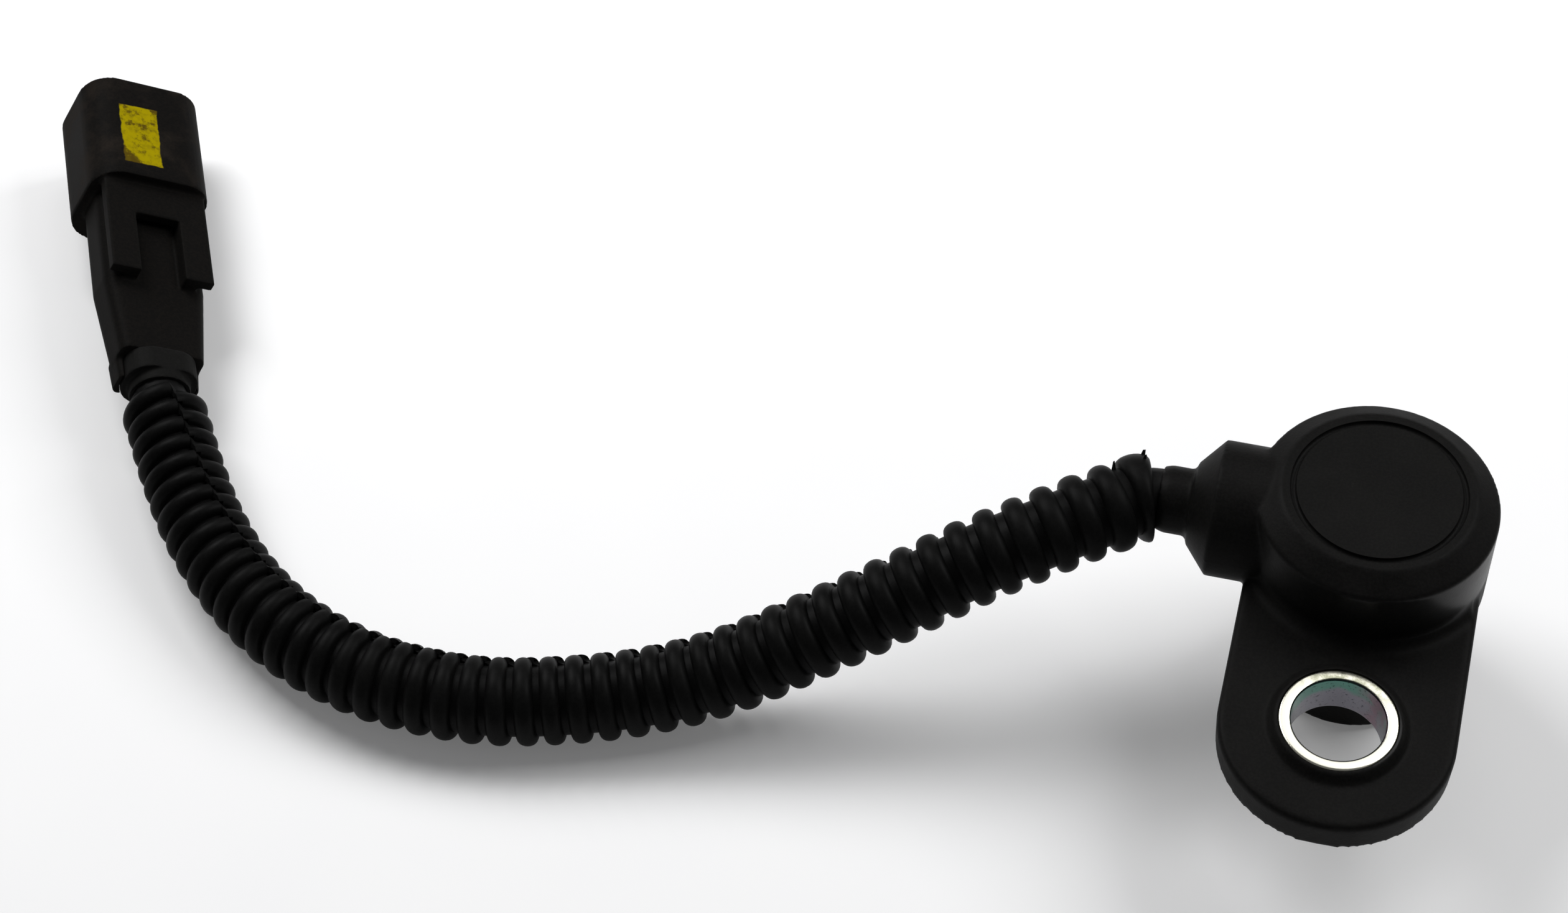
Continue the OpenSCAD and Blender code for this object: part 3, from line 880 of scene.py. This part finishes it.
def surface(wire, sockets):
    """The Principled shader with these sockets, wired to the material's output."""
    shader = wire.node("ShaderNodeBsdfPrincipled", None, sockets)
    wire.node("ShaderNodeOutputMaterial", None, {"Surface": shader})


def dress(piece, finish):
    """Gives a piece, or a CAD node, one finish."""
    if not piece.material_slots:
        piece.data.materials.append(finish)
    for material_slot in piece.material_slots:
        material_slot.material = finish


# %% [markdown]
# ### Black plastics and rubbers
# The head is a glass-filled plastic with a fine grain. The loom is a smoother, waxier plastic that gives each
# rib a soft gleam. The cable and the boot are duller. All of them are one recipe with different numbers: a
# dark tone with cloudy dust, a roughness that varies with it, and a fine grain as bump. The head's round
# wall slid along the mould when it was pushed out, which polished it, so a coat mirrors the table there.

# %% Black finishes


def black_finish(name, tone, dust, rough, gloss, grain_size, grain_height, polished=None):
    """A black plastic or rubber: its tone, dust, roughness, gloss and grain, and where it is polished."""
    material, where = new_finish(name)
    cloud = where.noise(220, detail=4, roughness=0.6).step(0.38, 0.72)
    speck = where.noise(2600, detail=2).step(0.66, 0.78)
    grain = where.noise(1000 / grain_size, detail=3, roughness=0.6)
    surface(where, {
        "Base Color": (cloud * 0.35 + speck * 0.3 + grain.step(0.4, 0.62) * 0.35).mixed(tone, dust),
        "Roughness": rough + 0.1 * cloud + 0.08 * grain,
        "Specular IOR Level": gloss,
        "Normal": grain.bump(grain_height * mm),
        "Coat Weight": polished(where) if polished else 0.0,
        "Coat Roughness": 0.22,
    })
    return material


wall_polish = 0.3
wall_foot = (15.2 * mm, 16.2 * mm)
wall_top = (20.3 * mm, 20.7 * mm)
boss_side = (-4 * mm, 3 * mm)


def round_wall(where):
    """The polish on the head's round wall, away from the boss, and 0 elsewhere."""
    height = where.coordinate(2)
    away = where.coordinate(0).step(*boss_side)
    return wall_polish * away * height.step(*wall_foot) * (1 - height.step(*wall_top))


moulding_finish = black_finish(
    "moulding_black", tone=(0.0045, 0.0044, 0.0042, 1), dust=(0.0095, 0.0092, 0.0086, 1),
    rough=0.45, gloss=0.05, grain_size=0.22, grain_height=0.014, polished=round_wall,
)
loom_finish = black_finish(
    "loom_black", tone=(0.0034, 0.0034, 0.0034, 1), dust=(0.0062, 0.0062, 0.006, 1),
    rough=0.4, gloss=0.045, grain_size=0.3, grain_height=0.008,
)
jacket_finish = black_finish(
    "jacket_black", tone=(0.005, 0.005, 0.005, 1), dust=(0.008, 0.008, 0.0078, 1),
    rough=0.5, gloss=0.08, grain_size=0.3, grain_height=0.006,
)
boot_finish = black_finish(
    "boot_black", tone=(0.0075, 0.0075, 0.0071, 1), dust=(0.0118, 0.0115, 0.0109, 1),
    rough=0.55, gloss=0.03, grain_size=0.25, grain_height=0.012,
)
seal_finish = black_finish(
    "seal_black", tone=(0.006, 0.006, 0.006, 1), dust=(0.012, 0.012, 0.0115, 1),
    rough=0.42, gloss=0.3, grain_size=0.35, grain_height=0.004,
)
black_pieces = (
    (head, moulding_finish), (loom, loom_finish), (cable, jacket_finish), (boot, boot_finish),
    (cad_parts["o_ring"], seal_finish),
)
for piece, finish in black_pieces:
    dress(piece, finish)
print("black finishes:", len(black_pieces))

# %% [markdown]
# ### The connector's plastic and its paint dab
# The connector is a browner black with dirt on the hood, and an inspector's dab of yellow paint on the hood's
# top. A Mapping node turns the part's frame into the connector's own, so the dab is a plain box in X, Y
# and Z with a ragged border, worn through at two corners.

# %% Connector finish
bare_black = (0.0058, 0.0056, 0.0053, 1)
dirt_brown = (0.0165, 0.0135, 0.011, 1)
paint_yellow = (0.33, 0.262, 0.0012, 1)
paint_worn = (0.06, 0.034, 0.005, 1)
paint_thin = (0.13, 0.1, 0.004, 1)
dab_across = (-3.05 * mm, 0.45 * mm)
dab_along = (22.6 * mm, 29.6 * mm)
dab_above = (4.2 * mm, 4.4 * mm)
far_corner = (29 * mm, 31.4 * mm)
near_corner = (21.8 * mm, 19.2 * mm)
corner_slant = 1.2
ragged_by = 0.6 * mm
edge_soft = 0.12 * mm

connector_finish, where = new_finish("connector_black")
inside = where.node("ShaderNodeMapping", {"vector_type": "TEXTURE"}, {
    "Vector": where, "Location": plug_at * mm, "Rotation": (0, plug_roll, plug_turn),
})
across = inside.coordinate(0)
along = inside.coordinate(1)
above = inside.coordinate(2)
ragged = (inside.noise(900, detail=4) - 0.5) * ragged_by


def between(distance, limits):
    """1 between two limits with a ragged border, and 0 outside them."""
    low, high = limits
    reached = distance + ragged
    return reached.step(low, low + edge_soft) * (1 - reached.step(high, high + edge_soft))


dab = between(across, dab_across) * between(along, dab_along) * above.step(*dab_above)
to_corner = across * corner_slant + along
corner_wear = to_corner.step(*far_corner) + to_corner.step(*near_corner)
worn = (inside.noise(650, detail=5, roughness=0.7) + 0.22 * corner_wear).step(0.48, 0.62)
thin = inside.noise(1700, detail=3).step(0.45, 0.7)
dirt = inside.noise(260, detail=5, roughness=0.65).step(0.45, 0.7) * along.step(20 * mm, 23 * mm)
grain = where.noise(4200, detail=3, roughness=0.6)
plastic = (dirt * 0.8 + grain.step(0.4, 0.62) * 0.2).mixed(bare_black, dirt_brown)
paint = (thin * 0.35).mixed((worn * 0.92).mixed(paint_yellow, paint_worn), paint_thin)
surface(where, {
    "Base Color": dab.mixed(plastic, paint),
    "Roughness": 0.5 + 0.12 * dirt + 0.06 * grain,
    "Specular IOR Level": 0.015,
    "Normal": (grain * 0.5 + dab * 0.6).bump(0.015 * mm),
})
dress(shell, connector_finish)
print("connector finish with a paint dab")

# %% [markdown]
# ### The bush's zinc
# Zinc passivation leaves an oily film whose thickness changes from place to place, so the steel shows pale
# yellow, teal, lilac and pink. The bore is teal near its top and lilac below, with pink on the right, and all
# of its tints are far darker than the top's silver, which is painted shade inside the hole. The flat top is
# nearly plain silver with a stain at the back, and the colour turns dark in a thin line along the bore's
# rolled edge. The square of the distance from the bolt's axis tells the bore from the top.

# %% Zinc finish
# The bore's tints are real film colours, kept dark as painted shade inside the hole.
lilac = (0.17, 0.165, 0.19, 1)
teal = (0.085, 0.19, 0.155, 1)
pink = (0.2, 0.1, 0.14, 1)
pit_dark = (0.02, 0.02, 0.025, 1)
silver = (0.93, 0.91, 0.77, 1)
stain_olive = (0.25, 0.27, 0.15, 1)
# A dark colour for a thin line along the bore's rolled edge.
edge_line_dark = (0.03, 0.03, 0.035, 1)
teal_from = 14.2 * mm
teal_rise = 500
pink_from = (0.2 * mm, 3 * mm)
stain_from = (1.5 * mm, 4 * mm)
ring_soft = 0.04
edge_line_in = 0.02

zinc_finish, where = new_finish("bush_zinc")
across = where.coordinate(0)
along = where.coordinate(1) - bolt_y * mm
height = where.coordinate(2)
spread = across * across + along * along


def outside(radius):
    """1 further than a radius from the bolt's axis, and 0 within it."""
    return spread.step((radius * mm) ** 2, ((radius + ring_soft) * mm) ** 2)


film = where.noise(420, detail=3)
speck = where.noise(5200, detail=3).step(0.6, 0.68)
teal_share = ((height - teal_from) * teal_rise + film).step(0.4, 0.75)
pink_share = across.step(*pink_from) * film.step(0.42, 0.6)
# The bore's colour, darkened as painted shade inside the hole.
bore_tint_and_shade = (pink_share * 0.85).mixed(teal_share.mixed(lilac, teal), pink)
bore_tint_and_shade = (speck * 0.7).mixed(bore_tint_and_shade, pit_dark)
stain = along.step(*stain_from) * where.noise(900, detail=5, roughness=0.7).step(0.4, 0.6)
top_tint = (stain * 0.75).mixed(silver, stain_olive)
rim = outside(bolt_hole_r + bush_edge / 2)
metal = rim.mixed(bore_tint_and_shade, top_tint)
# Darker in a thin line along the bore's rolled edge.
edge_line = outside(bolt_hole_r + edge_line_in) - rim
scratch = where.noise(3500, detail=4, roughness=0.7)
surface(where, {
    "Base Color": (edge_line * 0.9).mixed(metal, edge_line_dark),
    "Metallic": 1.0,
    "Roughness": 0.14 + 0.12 * scratch,
    "Normal": scratch.bump(0.003 * mm),
})
dress(bush, zinc_finish)
print("zinc finish")

# %% [markdown]
# ### What is inside
# The pick-up and the contacts keep their CAD shapes, because they hide in the nose and the hood. The metals
# carry faint bands across the nose's axis, and on the winding these stand for its turns.

# %% Inner finishes


def metal_finish(name, pale, dark, rough, band):
    """A metal with bands across the nose's axis, as turning and winding leave them."""
    material, where = new_finish(name)
    rings = where.node("ShaderNodeTexWave", {"wave_type": "BANDS", "bands_direction": "Z"}, {
        "Vector": where, "Scale": band, "Distortion": 0.6, "Detail": 1.0,
    }, 1)
    cloud = where.noise(800, detail=4)
    surface(where, {
        "Base Color": (0.6 * cloud + 0.4 * rings).mixed(pale, dark),
        "Metallic": 1.0,
        "Roughness": rough + 0.15 * cloud,
        "Normal": rings.bump(0.01 * mm, 0.5),
    })
    return material


def plain_finish(name, pale, dark, rough):
    """A coloured plastic, rubber or insulation with a cloudy tone and a fine grain."""
    material, where = new_finish(name)
    cloud = where.noise(700, detail=4)
    grain = where.noise(3500, detail=2)
    surface(where, {
        "Base Color": cloud.mixed(pale, dark),
        "Roughness": rough + 0.15 * grain,
        "Normal": grain.bump(0.006 * mm),
    })
    return material


iron = metal_finish("pole_iron", (0.42, 0.42, 0.43, 1), (0.26, 0.26, 0.27, 1), rough=0.3, band=900)
magnet = metal_finish("magnet_grey", (0.26, 0.26, 0.28, 1), (0.15, 0.15, 0.17, 1), rough=0.5, band=300)
copper = metal_finish("winding_copper", (0.72, 0.38, 0.17, 1), (0.42, 0.17, 0.06, 1), rough=0.25, band=2200)
tin = metal_finish("contact_tin", (0.74, 0.74, 0.7, 1), (0.55, 0.55, 0.52, 1), rough=0.22, band=700)
nylon = plain_finish("bobbin_nylon", (0.74, 0.71, 0.6, 1), (0.6, 0.56, 0.45, 1), rough=0.45)
red = plain_finish("lead_red", (0.44, 0.035, 0.025, 1), (0.3, 0.02, 0.015, 1), rough=0.4)
grey = plain_finish("lead_grey", (0.17, 0.17, 0.17, 1), (0.1, 0.1, 0.1, 1), rough=0.4)
silicone = plain_finish("wire_seal_red", (0.42, 0.15, 0.075, 1), (0.3, 0.1, 0.05, 1), rough=0.55)
orange = plain_finish("wedge_orange", (0.6, 0.2, 0.03, 1), (0.46, 0.14, 0.02, 1), rough=0.45)
inner_finishes = {
    "pole_piece": iron, "magnet": magnet, "coil_winding": copper, "bobbin": nylon,
    "terminal_1": tin, "terminal_2": tin, "contact_pin_1": tin, "contact_pin_2": tin,
    "head_lead_1": red, "plug_lead_1": red, "head_lead_2": grey, "plug_lead_2": grey,
    "wire_seal": silicone, "wedge_lock": orange,
}
for name, finish in inner_finishes.items():
    dress(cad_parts[name], finish)
print("inner pieces dressed:", len(inner_finishes))

# %% [markdown]
# ## The table and the light
# The part lies on a white table between two soft lamps that stand a little behind it, so the shadows come
# towards the camera. The table is a pale diffuse surface with a little glow for the camera's own rays, which
# makes the lit table white and keeps the shadow. A weak card behind the part is what the bush mirrors.

# %% Table and room
table_size = 8
table_gap = 0.02 * mm
table_glow = 0.12
room_level = 0.11

start_clean()
bpy.ops.mesh.primitive_plane_add(size=table_size, location=(0, 0, -table_gap))
table = bpy.context.object
table.name = "table"
table_finish, where = new_finish("table_white")
paper = where.noise(60, detail=3)
rays = [where.node("ShaderNodeLightPath", output=name) for name in (
    "Is Camera Ray", "Is Glossy Ray", "Is Transmission Ray"
)]
seen = (rays[0] + rays[1] + rays[2]).step(0, 0.5)
matte = where.node("ShaderNodeBsdfDiffuse", None, {
    "Color": paper.mixed((0.9, 0.9, 0.91, 1), (0.93, 0.93, 0.93, 1)),
})
glow = where.node("ShaderNodeEmission", None, {"Color": (1, 1, 1, 1), "Strength": seen * table_glow})
both = where.node("ShaderNodeAddShader", None, {0: matte, 1: glow})
where.node("ShaderNodeOutputMaterial", None, {"Surface": both})
dress(table, table_finish)

world = bpy.data.worlds.new("room")
bpy.context.scene.world = world
world.use_nodes = True
world.node_tree.nodes.clear()
sky = Wire(world.node_tree)
looked_at = sky.node("ShaderNodeLightPath", output="Is Camera Ray")
backdrop = sky.node("ShaderNodeBackground", None, {
    "Color": (0.97, 0.98, 1, 1), "Strength": room_level + (1 - room_level) * looked_at,
})
sky.node("ShaderNodeOutputWorld", None, {"Surface": backdrop})

# %% Lamps
middle = Vector((-52, -2, 5)) * mm


def soft_lamp(name, offset, size, level):
    """A square lamp that faces the part and lights the table at this level."""
    start_clean()
    at = middle + Vector(offset)
    bpy.ops.object.light_add(type="AREA", location=at)
    lamp = bpy.context.object
    lamp.name = name
    lamp.rotation_euler = Vector(offset).to_track_quat("Z", "Y").to_euler()
    lamp.data.size = size
    distance = Vector(offset).length
    slant = offset[2] / distance
    lamp.data.energy = level * math.pi ** 2 * distance ** 2 / slant
    print(name, "power in watts:", round(lamp.data.energy, 2))


soft_lamp("lamp_left", (-0.2, 0.14, 0.28), size=0.2, level=0.52)
soft_lamp("lamp_right", (0.22, 0.14, 0.28), size=0.2, level=0.34)
soft_lamp("card_behind", (0.06, 0.43, 0.675), size=0.38, level=0.07)
bpy.context.scene.view_settings.view_transform = "Standard"
